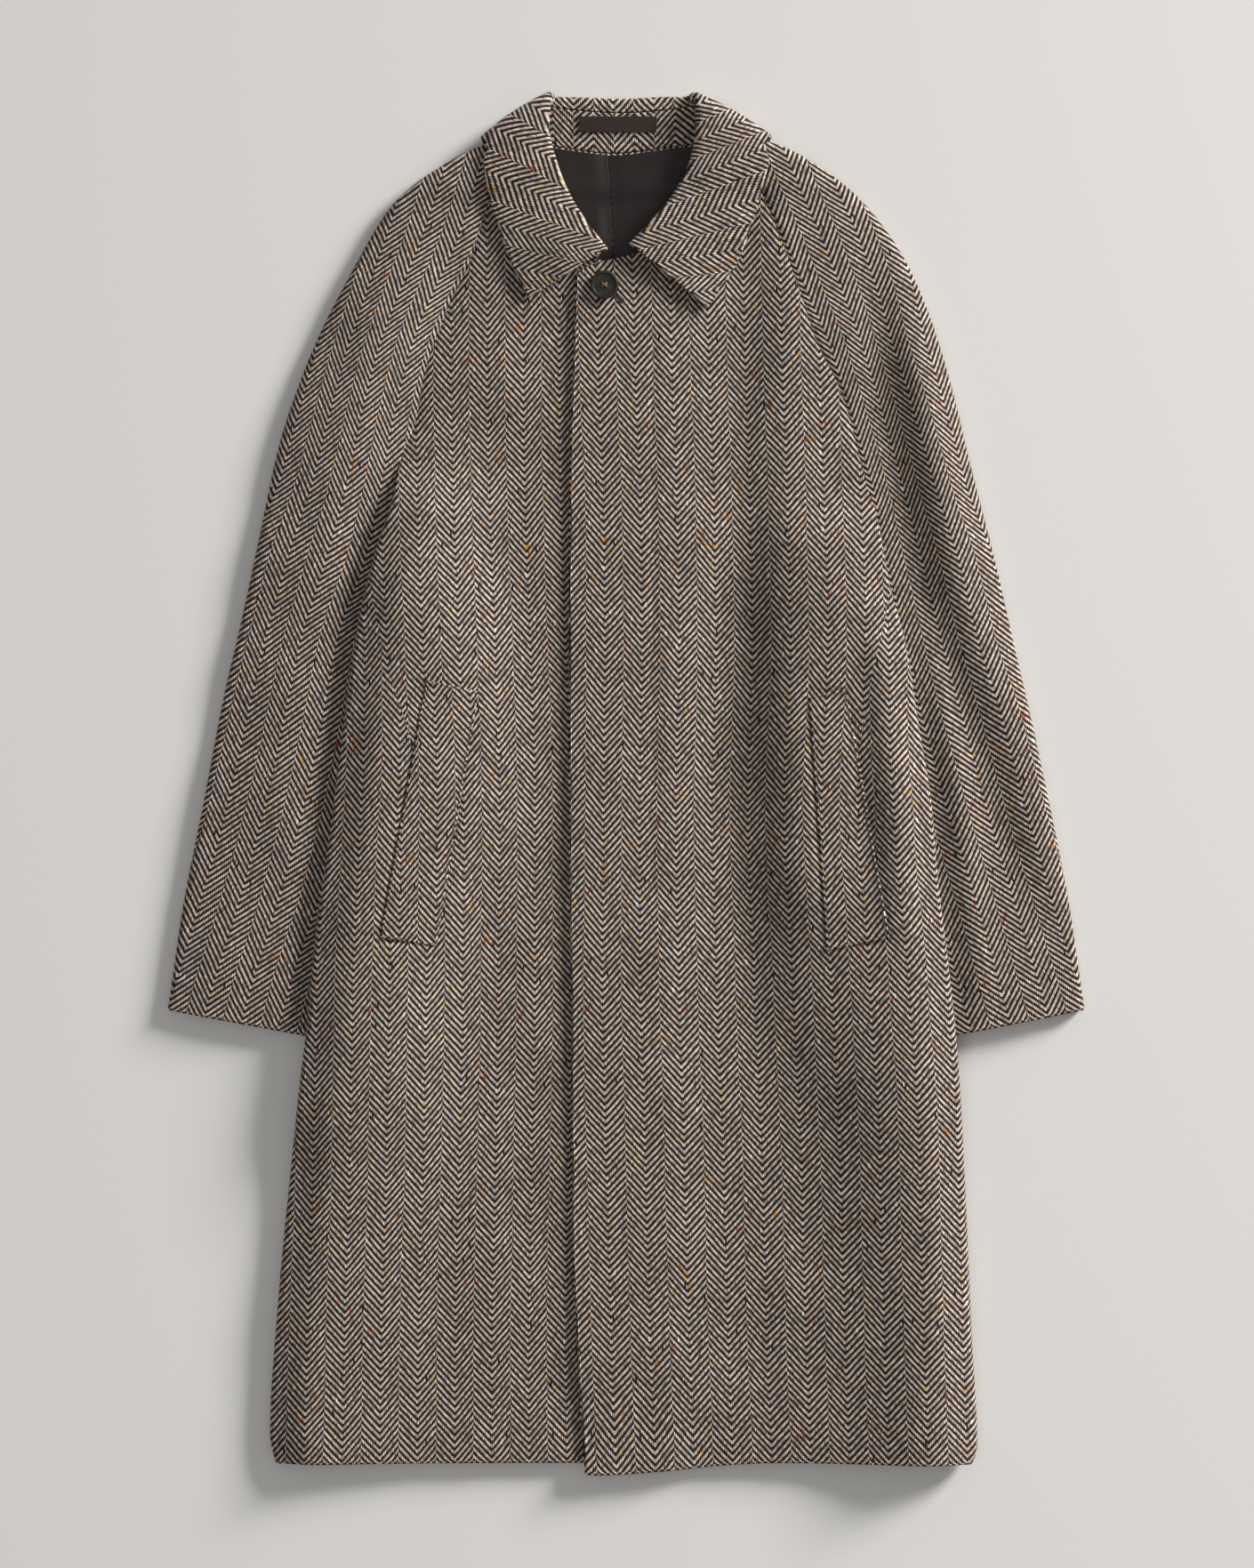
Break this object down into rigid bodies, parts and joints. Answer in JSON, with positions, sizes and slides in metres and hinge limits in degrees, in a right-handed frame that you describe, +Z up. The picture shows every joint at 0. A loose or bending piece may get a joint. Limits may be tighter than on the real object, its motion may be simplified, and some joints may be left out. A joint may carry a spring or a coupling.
{
  "type": "wool overcoat",
  "caption": "Knee-length herringbone tweed overcoat with raglan sleeves, turn-down collar, fly front and slanted welt pockets, buttoned at the neck and laid flat on its back.",
  "frame": {"origin": "middle of the bounding box in plan, on the plane the coat rests on", "axes": "+Y from the hem to the collar, +X towards the wearer's left, +Z up out of the front of the coat"},
  "size_m": [0.762, 1.1468, 0.0231],
  "materials": {
    "tweed": "brown and ecru herringbone wool tweed with coloured flecks, matt and slightly hairy",
    "lining": "warm black satin-weave lining with a soft sheen",
    "label": "plain dark brown woven label, blank",
    "button": "dark horn-like button, satin"
  },
  "bodies": {
    "root": {"back": "tweed", "front_right": "tweed", "front_left": "tweed", "sleeve_back_right": "tweed", "sleeve_front_right": "tweed", "sleeve_back_left": "tweed", "sleeve_front_left": "tweed", "collar_fall": "tweed", "collar_stand": "tweed", "pocket_welt_right": "tweed", "pocket_welt_left": "tweed", "lining_right": "lining", "lining_left": "lining", "neck_label": "label", "button": "button"}
  },
  "joints": []
}
